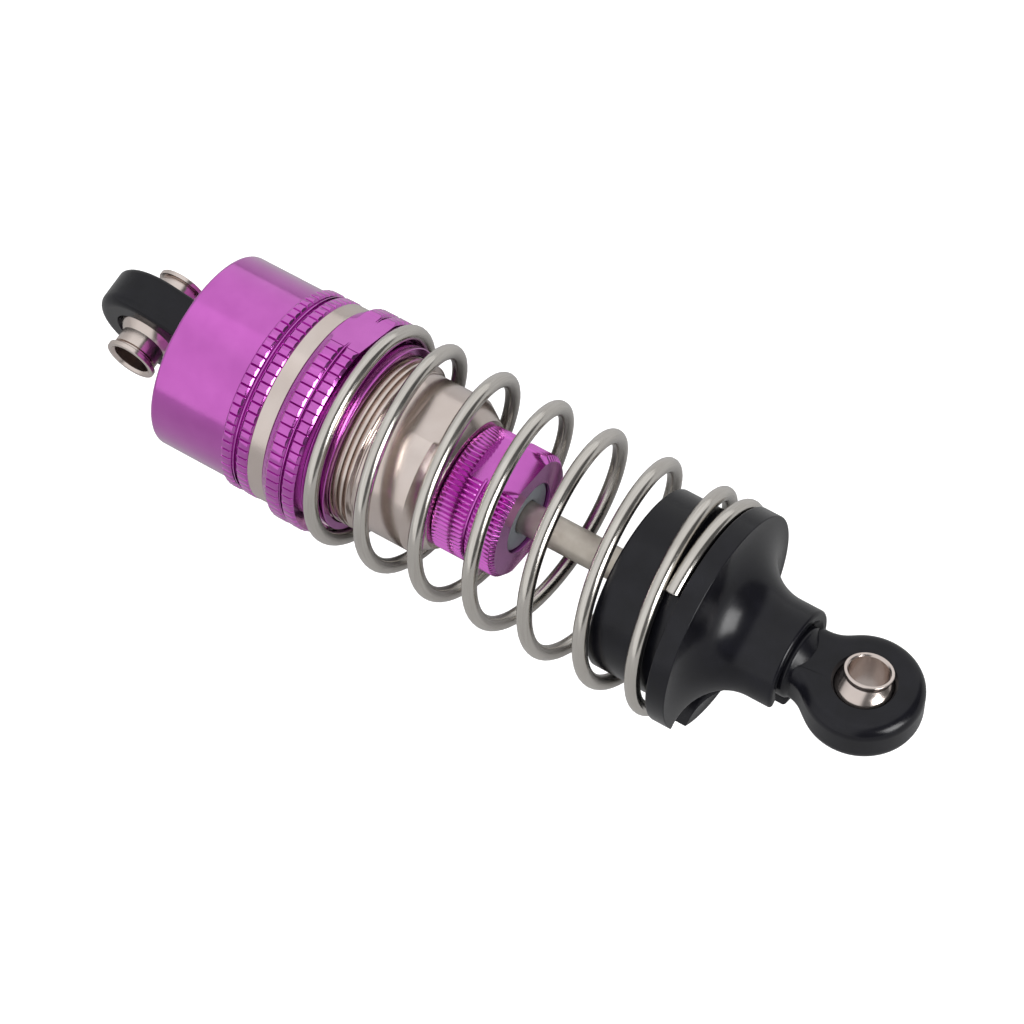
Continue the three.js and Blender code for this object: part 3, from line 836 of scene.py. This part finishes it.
ROD_FIT_R = 1.32
PLAIN_COLUMNS = 96
for name, node, outline, body, material, slot in [
    ("cap_bladder", "bladder", bladder_outline(), "root", seal_rubber, "rubber"),
    ("cap_o_ring", "cap_seal_ring", None, "root", seal_rubber, "rubber"),
    ("adjuster_ring", "adjuster_o_ring", None, "spring", seal_rubber, "rubber"),
    ("rod_seal_upper", "shaft_seal_upper", None, "root", seal_rubber, "rubber"),
    ("rod_seal_lower", "shaft_seal_lower", None, "root", seal_rubber, "rubber"),
    ("seal_sleeve", "seal_spacer", 0.06, "root", white_acetal, "white_acetal"),
    ("rod_guide", "shaft_guide", 0.1, "root", grey_acetal, "grey_acetal"),
    ("clip_above", "piston_clip_upper", 0.06, "rod", ground_steel, "ground_steel"),
    ("clip_below", "piston_clip_lower", 0.06, "rod", ground_steel, "ground_steel"),
    ("piston_rod", "shaft", rod_outline(), "rod", ground_steel, "ground_steel"),
]:
    if outline is None:
        outline = ring_section(node)
    elif isinstance(outline, float):
        outline = sleeve(node, ROD_FIT_R, outline)
    fit(turned(name, outline, PLAIN_COLUMNS), node, body, material)

# %% [markdown]
# ## Joining and cutting shells
#
# A few pieces aren't one sweep: the piston has oil holes, and each eye is a flat
# plate joined to a round stem. Their shells are made apart and then joined or cut
# by an exact boolean, whose result replaces the mesh.

# %% Booleans
def combine(base, tool, operation):
    """Joins a second closed shell to the first, or cuts it away, and removes the second."""
    modifier = base.modifiers.new(operation, "BOOLEAN")
    modifier.object = tool
    modifier.operation = operation
    modifier.solver = "EXACT"
    result = bpy.data.meshes.new_from_object(
        base.evaluated_get(bpy.context.evaluated_depsgraph_get())
    )
    base.modifiers.clear()
    base.data = result
    bpy.data.objects.remove(tool)
    tidy(result)
    return base


# %% Piston
OIL_HOLES, OIL_HOLE_R, OIL_HOLE_AT = 3, 0.6, 3.3
piston_start, piston_end = span("piston")[:2]
ends = (piston_start - 1, piston_end + 1)
piston = turned("piston_disc", sleeve("piston", ROD_FIT_R, 0.15), 128)
for hole in range(OIL_HOLES):
    drill = turned("drill", [(ends[0], 0), (ends[0], OIL_HOLE_R), (ends[1], OIL_HOLE_R), (ends[1], 0)], 32)
    drill.data.transform(
        Matrix.Rotation(TURN * hole / OIL_HOLES, 4, "X") @ Matrix.Translation((0, OIL_HOLE_AT * MM, 0))
    )
    combine(piston, drill, "DIFFERENCE")
fit(piston, "piston", "rod", white_acetal)

# %% [markdown]
# ## Lower spring seat
#
# A black moulding: a barrel that fills the spring's last coils, a flange that they
# push on, and a bell that narrows to the rod's end. A slot runs along one side, so
# that the seat can be slid onto the rod sideways. The closed outline is swept from
# one wall of the slot round to the other: at radius r a wall half a slot from the
# middle stands at the angle whose sine is half / r.

# %% Lower spring seat
seat_start, seat_end = span("spring_seat")[:2]
SEAT_COLUMNS = 168
SLOT_HALF, SLOT_DEG = 1.6, 211.3
BARREL = {"r": 7.1, "inner": 5.7, "floor": 46.0}
FLANGE, FLANGE_R, FLANGE_STEP = (48.22, 49.8), 8.55, 0.22
NECK_START, NECK_R, NECK_ROOM_R, MOUTH_R = 53.8, 3.97, 2.86, 3.3
NECK_ROOM_START, MOUTH_DEPTH, ROD_ROOM_R = 50.05, 0.45, SLOT_HALF + 0.01
SEAT_EDGE, SEAT_EDGE_DEG = 0.1, 50
BELL_R = FLANGE_R - FLANGE_STEP
bell = ellipse(NECK_START, BELL_R, NECK_START - FLANGE[1], BELL_R - NECK_R, 180, 270, 22)
seat_outline = rounded(
    [
        (seat_start, BARREL["inner"], 0.12),
        (seat_start, BARREL["r"], 0.16),
        (FLANGE[0], BARREL["r"], 0.1),
        (FLANGE[0], FLANGE_R, 0.15),
        (FLANGE[1], FLANGE_R, 0.08),
        *bell,
        (seat_end, NECK_R, 0.28),
        (seat_end, MOUTH_R, 0.12),
        (seat_end - MOUTH_DEPTH, NECK_ROOM_R, 0),
        (NECK_ROOM_START, NECK_ROOM_R, 0.1),
        (NECK_ROOM_START, ROD_ROOM_R, 0.1),
        (BARREL["floor"], ROD_ROOM_R, 0.1),
        (BARREL["floor"], BARREL["inner"], 0.3),
    ]
)


def slotted(name, outline):
    """Angle = the slot's middle + asin(half / r) + share x (a full turn less both walls)."""
    outline = np.vstack([outline, outline[:1]])
    x, r = outline[:, :1], outline[:, 1:]
    wall = np.arcsin(np.minimum(SLOT_HALF / r, 1))
    share = np.linspace(0, 1, SEAT_COLUMNS)
    angle = math.radians(SLOT_DEG) + wall + share * (TURN - 2 * wall)
    grid = np.stack([x + 0 * angle, r * np.cos(angle), r * np.sin(angle)], axis=-1)
    first = np.arange(len(outline) - 1) * SEAT_COLUMNS
    return surface(name, grid, lids=(first, first + SEAT_COLUMNS - 1))


def soften(piece, width, sharper_than_deg):
    """Rounds the edges of a piece that are sharper than an angle."""
    shell = bmesh.new()
    shell.from_mesh(piece.data)
    edges = [e for e in shell.edges if e.calc_face_angle(0) > math.radians(sharper_than_deg)]
    bmesh.ops.bevel(
        shell, geom=edges, offset=width * MM, segments=3, profile=0.5, affect="EDGES", clamp_overlap=True
    )
    shell.to_mesh(piece.data)
    shell.free()
    tidy(piece.data)


seat = slotted("seat_moulding", seat_outline)
soften(seat, SEAT_EDGE, SEAT_EDGE_DEG)
fit(seat, "spring_seat", "seat", black_nylon)

# %% [markdown]
# ## Eyes
#
# Each end of the damper is a black eye moulded round a pivot ball. Seen from the
# face, its outline is a circle with a shank. In polar form about the ball the
# circle is a constant, a side that touches it is r / cos(angle from the touching
# point), and a side that runs parallel to the shank is half / sin(angle). The rows
# of the grid go from the ball's socket over the face, round the moulded edge, down
# the side and back to the socket.

# %% Eye plates
EYE_COLUMNS, EYE_ROWS = 240, 8
EYE_GUARD = 0.05


def smooth_max(a, b, blend):
    """The larger of two values, with a round of that size where they cross."""
    near = np.maximum(blend - np.abs(a - b), 0) / blend
    return np.maximum(a, b) + near * near * blend / 4


def touching_side(angle, radius, end, half):
    """A straight side from (end, half) that touches the circle: radius / cos(angle from the touch)."""
    touch = math.atan2(half, end) + math.acos(radius / math.hypot(end, half))
    return np.where(angle < touch, radius / np.cos(np.minimum(touch - angle, 1.5)), radius)


def waisted_side(angle, radius, half, blend):
    """A side parallel to the shank that runs into the circle in a soft hollow."""
    line = np.where(angle < math.pi / 2, half / np.maximum(np.sin(angle), 1e-3), 0)
    return smooth_max(radius + 0 * angle, line, blend)


def eye_plate(name, side_a, side_b, end, thick_half, edges, socket):
    """side_a and side_b give the outline's radius by the angle from the shank, on each side.
    edges are the moulded rounds of the upper and the lower face. socket is (ball radius, seat half
    width, mouth radius)."""
    angle = np.linspace(-math.pi, math.pi, EYE_COLUMNS + 1)
    radius = np.where(angle < 0, side_a(-angle), side_b(angle))
    limit = end / np.maximum(np.cos(angle), 1e-6)
    radius, at_end = np.minimum(radius, limit), radius > limit
    direction = np.stack([np.cos(angle), np.sin(angle)], axis=-1)
    outline = radius[:, None] * direction
    along = np.roll(outline[:-1], -1, axis=0) - np.roll(outline[:-1], 1, axis=0)
    along = np.vstack([along, along[:1]])
    inward = np.stack([-along[:, 1], along[:, 0]], axis=-1) / np.linalg.norm(along, axis=1, keepdims=True)
    shank_half = np.abs(outline[at_end, 1]).max()
    inward[at_end] = np.stack([0 * outline[at_end, 1], -outline[at_end, 1] / shank_half], axis=-1)
    ball_r, seat_half, mouth_r = socket
    rows = []

    def hole_row(r, z):
        rows.append(np.column_stack([r * direction, np.full(len(angle), z)]))

    def rim_row(inset, z):
        rows.append(np.column_stack([outline + inset * inward, np.full(len(angle), z)]))

    for z in np.linspace(0, seat_half, EYE_ROWS):
        hole_row(math.sqrt(ball_r**2 - z**2), z)
    for side, edge in ((1, edges[0]), (-1, edges[1])):
        quarter = np.linspace(0, math.pi / 2, EYE_ROWS)
        rounds = [(edge * (1 - math.sin(a)), thick_half - edge * (1 - math.cos(a))) for a in quarter]
        face = [(mouth_r, thick_half), (mouth_r + 0.04, thick_half)]
        if side > 0:
            for r, z in face:
                hole_row(r, z)
            rim_row(edge + EYE_GUARD, thick_half)
            for inset, z in rounds:
                rim_row(inset, z)
            rim_row(0, thick_half - edge - EYE_GUARD)
        else:
            rim_row(0, -(thick_half - edge - EYE_GUARD))
            for inset, z in rounds[::-1]:
                rim_row(inset, -z)
            rim_row(edge + EYE_GUARD, -thick_half)
            for r, z in face[::-1]:
                hole_row(r, -z)
    for z in np.linspace(-seat_half, 0, EYE_ROWS):
        hole_row(math.sqrt(ball_r**2 - z**2), z)
    return surface(name, np.array(rows))


# %% Upper eye
TOP_EYE = {"r": 4.4, "end": 4.75, "root_half": 3.3, "half": 1.6, "edges": (0.75, 0.4)}
TOP_STEM = {"start": 3.9, "tip_r": 1.3, "full": 4.3, "r": 2.0, "end": 6.9}
TOP_BALL_R, SOCKET_FIT = 2.7, 0.05
TOP_SEAT_HALF, TOP_MOUTH_R = 1.25, 2.62


def top_side(angle):
    return touching_side(angle, TOP_EYE["r"], TOP_EYE["end"], TOP_EYE["root_half"])


top_eye = eye_plate(
    "top_eye_moulding",
    top_side,
    top_side,
    TOP_EYE["end"],
    TOP_EYE["half"],
    TOP_EYE["edges"],
    (TOP_BALL_R + SOCKET_FIT, TOP_SEAT_HALF, TOP_MOUTH_R),
)
top_eye.data.transform(Matrix.Rotation(math.pi / 2, 4, "X"))
stem = turned(
    "stem",
    rounded(
        [
            (TOP_STEM["start"], 0, 0),
            (TOP_STEM["start"], TOP_STEM["tip_r"], 0),
            (TOP_STEM["full"], TOP_STEM["r"], 0),
            (TOP_STEM["end"], TOP_STEM["r"], 0.15),
            (TOP_STEM["end"], 0, 0),
        ]
    ),
    96,
)
combine(top_eye, stem, "UNION")
fit(top_eye, "upper_eye", "root", black_nylon)

# %% [markdown]
# ### Lower eye
#
# The lower eye is moulded onto the rod's end. One of its sides is straight and
# the other has a waist. Its face is turned a little about the rod, because
# nothing stops the rod from turning.

# %% Lower eye
PIVOT_X = 61.0
LOW_EYE = {"r": 4.4, "end": 4.95, "half": 1.8, "edges": (1.0, 1.0), "tilt_deg": -11.0}
LOW_BALL_R, LOW_SEAT_HALF, LOW_MOUTH_R = 2.6, 1.5, 2.37
STRAIGHT_HALF, STRAIGHT_BLEND = 2.75, 1.0
WAIST_HALF, WAIST_BLEND = 2.3, 1.6
STEM = {"start": 50.1, "r": 2.76, "end": 56.0, "bore": 1.32, "bore_end": 56.45}
STEM_TIP, STEM_TIP_R = STEM["end"] + 0.8, 1.9


def straight_side(angle):
    return waisted_side(angle, LOW_EYE["r"], STRAIGHT_HALF, STRAIGHT_BLEND)


def hollow_side(angle):
    return waisted_side(angle, LOW_EYE["r"], WAIST_HALF, WAIST_BLEND)


low_eye = eye_plate(
    "low_eye_moulding",
    straight_side,
    hollow_side,
    LOW_EYE["end"],
    LOW_EYE["half"],
    LOW_EYE["edges"],
    (LOW_BALL_R + SOCKET_FIT, LOW_SEAT_HALF, LOW_MOUTH_R),
)
low_eye.data.transform(
    Matrix.Translation((PIVOT_X * MM, 0, 0))
    @ Matrix.Rotation(math.radians(LOW_EYE["tilt_deg"]), 4, "X")
    @ Matrix.Rotation(math.pi, 4, "Z")
)
low_stem = turned(
    "low_stem",
    rounded(
        [
            (STEM["bore_end"], 0, 0),
            (STEM["bore_end"], STEM["bore"], 0),
            (STEM["start"], STEM["bore"], 0.1),
            (STEM["start"], STEM["r"], 0.15),
            (STEM["end"], STEM["r"], 0.35),
            (STEM_TIP, STEM_TIP_R, 0),
            (STEM_TIP, 0, 0),
        ]
    ),
    128,
)
combine(low_eye, low_stem, "UNION")
fit(low_eye, "rod_end", "rod", black_nylon)

# %% [markdown]
# ## Pivot balls
#
# Each ball is turned with its bore and its ends in one piece. The upper one has a
# neck and a flange at each side, and the lower one has a thin lip. They are turned
# about X like everything else and then swung to their bolt's direction.

# %% Pivot balls
BOLT_R = 1.5
BALL_STEPS = 20
BALL_COLUMNS = 128


def ball_outline(radius, neck_r, reach, ends):
    """A ball between two ends, whose arc meets the neck at the angle asin(neck radius / ball radius).
    reach is how far each end stands from the ball's centre, and ends lists (distance from the end,
    radius, fillet) from the bore's chamfer outwards and then inwards."""
    left = [(-reach[0] + d, r, f) for d, r, f in ends]
    right = [(reach[1] - d, r, f) for d, r, f in ends[::-1]]
    neck_deg = math.degrees(math.asin(neck_r / radius))
    return rounded([*left, *ellipse(0, 0, radius, radius, 180 - neck_deg, neck_deg, BALL_STEPS), *right])


def swing(piece, centre, direction):
    """Turns a piece made about X so that its axis lies along a direction, and moves it to its centre."""
    turn = Vector((1, 0, 0)).rotation_difference(Vector(direction)).to_matrix().to_4x4()
    piece.data.transform(Matrix.Translation(Vector(centre) * MM) @ turn)
    return piece


TOP_REACH, TOP_NECK_R, TOP_FLANGE_R, TOP_GROOVE_R = (3.8, 3.45), 1.78, 2.03, 1.6
TOP_ENDS = [
    (0.2, BOLT_R, 0),
    (0, BOLT_R + 0.2, 0.03),
    (0, TOP_FLANGE_R, 0.08),
    (0.36, TOP_FLANGE_R, 0.06),
    (0.42, TOP_GROOVE_R, 0),
    (0.6, TOP_GROOVE_R, 0),
    (0.66, TOP_NECK_R, 0),
]
top_outline = ball_outline(TOP_BALL_R, TOP_NECK_R, TOP_REACH, TOP_ENDS)
top_ball = swing(turned("top_ball_turned", top_outline, BALL_COLUMNS), (0, 0, 0), (0, 1, 0))
fit(top_ball, "upper_pivot_ball", "upper_ball", nickel_plate)

LOW_REACH, LOW_NECK_R, LOW_LIP_R = (2.5, 2.5), 1.7, 1.83
LOW_AXIS = (0, 0.41787, 0.90851)
LOW_ENDS = [
    (0.1, BOLT_R, 0),
    (0, BOLT_R + 0.1, 0.03),
    (0, LOW_LIP_R, 0.07),
    (0.18, LOW_LIP_R, 0.05),
    (0.24, LOW_NECK_R, 0),
]
low_outline = ball_outline(LOW_BALL_R, LOW_NECK_R, LOW_REACH, LOW_ENDS)
low_ball = swing(turned("low_ball_turned", low_outline, BALL_COLUMNS), (PIVOT_X, 0, 0), LOW_AXIS)
fit(low_ball, "lower_pivot_ball", "lower_ball", nickel_plate)

# %% [markdown]
# ## Making the spring shorten
#
# Two things squeeze the spring: the rod sliding in, and the adjuster moving down.
# With the rod's travel the coils flatten towards the adjuster's face. When the
# adjuster moves, it takes the spring's near end along, and a hook holds the far end
# where the seat is: each point is held more the nearer it is to the seat.

# %% Spring under load
HOLD_STEPS = 1000
free_length = FLANGE[0] - NUT_FACE
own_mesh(spring)
points = np.empty(3 * len(spring.data.vertices), dtype=np.float32)
spring.data.vertices.foreach_get("co", points)
share = np.clip((points[::3] / MM - NUT_FACE) / free_length, 0, 1)
level = np.round(share * HOLD_STEPS).astype(int)
held = spring.vertex_groups.new(name="held by the seat")
for step in np.unique(level):
    held.add(np.flatnonzero(level == step).tolist(), float(step / HOLD_STEPS), "REPLACE")
hook = spring.modifiers.new("seat holds the far end", "HOOK")
hook.object = frame["bodies"]["root"]
hook.vertex_group = held.name
hook.falloff_type = "NONE"
bpy.context.view_layer.update()
hook.matrix_inverse = hook.object.matrix_world.inverted() @ spring.matrix_world

# %% [markdown]
# ## Floor and studio
#
# The damper lies on a plain white table in a white tent. A tent gives metal
# something bright to reflect from every side. Its brightness is the product of two
# ramps. One runs along the damper's axis: the tent is open in a dark slice beyond
# the lower eye, which draws the dark line along each coil, and closed again by a
# bright end. The other runs round the axis, and its panels give the polished
# cylinders their soft bands. A softbox at the lower end lights the chamfers and
# the bell, and a wide one over the table doesn't show in reflections. The table
# glows for the camera alone, so that it is a clean white and reflects no glare.

# %% Floor
def paper(tree):
    tint = ramp(tree, grain(tree, 40 * MM), [(0.3, "#989898"), (0.7, "#9C9C9C")])
    fibres = relief(tree, grain(tree, 0.8 * MM), 0.05, 0.02)
    sheet = add(tree, "BsdfDiffuse", {"Roughness": 0.5}, {"Color": tint, "Normal": fibres})
    lamp = add(tree, "Emission", links={"Strength": add(tree, "LightPath").outputs["Is Camera Ray"]})
    return add(tree, "AddShader", links={0: sheet.outputs[0], 1: lamp.outputs[0]})


FLOOR_HALF = 1.5
FLOOR_GAP = 0.02
floor_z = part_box("coil_spring")[0].z / MM - FLOOR_GAP
edge = np.array([-FLOOR_HALF, FLOOR_HALF]) / MM
floor_x, floor_y = np.meshgrid(edge, edge)
floor = surface("floor", np.stack([floor_x, floor_y, np.full((2, 2), floor_z)], axis=-1))
if floor.data.polygons[0].normal.z < 0:
    floor.data.flip_normals()
floor.data.materials.append(finish_material("white table paper", paper))
print("the table is", 2 * FLOOR_HALF, "m wide")

# %% Studio light
# TENT gives (direction along the damper, brightness), PANELS (degrees round it, brightness).
TENT = [(-1.0, 0.25), (-0.75, 0.34), (-0.55, 0.4), (0.28, 0.4), (0.40, 0.05), (0.92, 0.04), (0.965, 0.6)]
PANELS = [(0, 0.80), (68, 0.80), (72, 0.95), (94, 0.87), (108, 0.79), (144, 0.85), (180, 0.84)]
TENT_STRENGTH = 2.6
world = bpy.data.worlds.new("white tent")
bpy.context.scene.world = world
world.use_nodes = True
sky = world.node_tree
sky.nodes.clear()
towards = add(sky, "SeparateXYZ", links={0: add(sky, "TexCoord").outputs["Generated"]}).outputs
along = add(sky, "MapRange", {"From Min": -1.0}, {"Value": towards["X"]}).outputs["Result"]
tent = ramp(sky, along, [((x + 1) / 2, level) for x, level in TENT])
turn = add(sky, "Math", links={0: towards["Z"], 1: towards["Y"]}, operation="ARCTAN2").outputs[0]
overhead = add(sky, "MapRange", {"From Max": math.pi}, {"Value": turn}).outputs["Result"]
panels = ramp(sky, overhead, [(deg / 180, level) for deg, level in PANELS])
both = add(sky, "MixRGB", {"Fac": 1.0}, {"Color1": tent, "Color2": panels}, blend_type="MULTIPLY")
light = add(sky, "Background", {"Strength": TENT_STRENGTH}, {"Color": both.outputs[0]})
white = add(sky, "Background", {"Color": (1, 1, 1, 1), "Strength": 1.0})
seen = add(sky, "LightPath").outputs["Is Camera Ray"]
tent_or_white = add(sky, "MixShader", links={0: seen, 1: light.outputs[0], 2: white.outputs[0]})
add(sky, "OutputWorld", links={"Surface": tent_or_white.outputs[0]})


def softbox(name, place, size, power):
    """A square soft light that looks at the damper's middle."""
    lamp = bpy.data.lights.new(name, "AREA")
    lamp.size = size
    lamp.energy = power
    box = bpy.data.objects.new(name, lamp)
    box.location = place
    box.rotation_euler = (LOOK_AT - Vector(place)).to_track_quat("-Z", "Y").to_euler()
    bpy.context.scene.collection.objects.link(box)
    return box


softbox("end_softbox", (0.60, -0.05, 0.24), 0.3, 2.6)
table_softbox = softbox("table_softbox", (0.05, -0.35, 0.7), 0.8, 8.0)
table_softbox.visible_glossy = False
bpy.context.scene.view_settings.view_transform = "Standard"
print("the tent and", len(bpy.data.lights), "softboxes are lit")
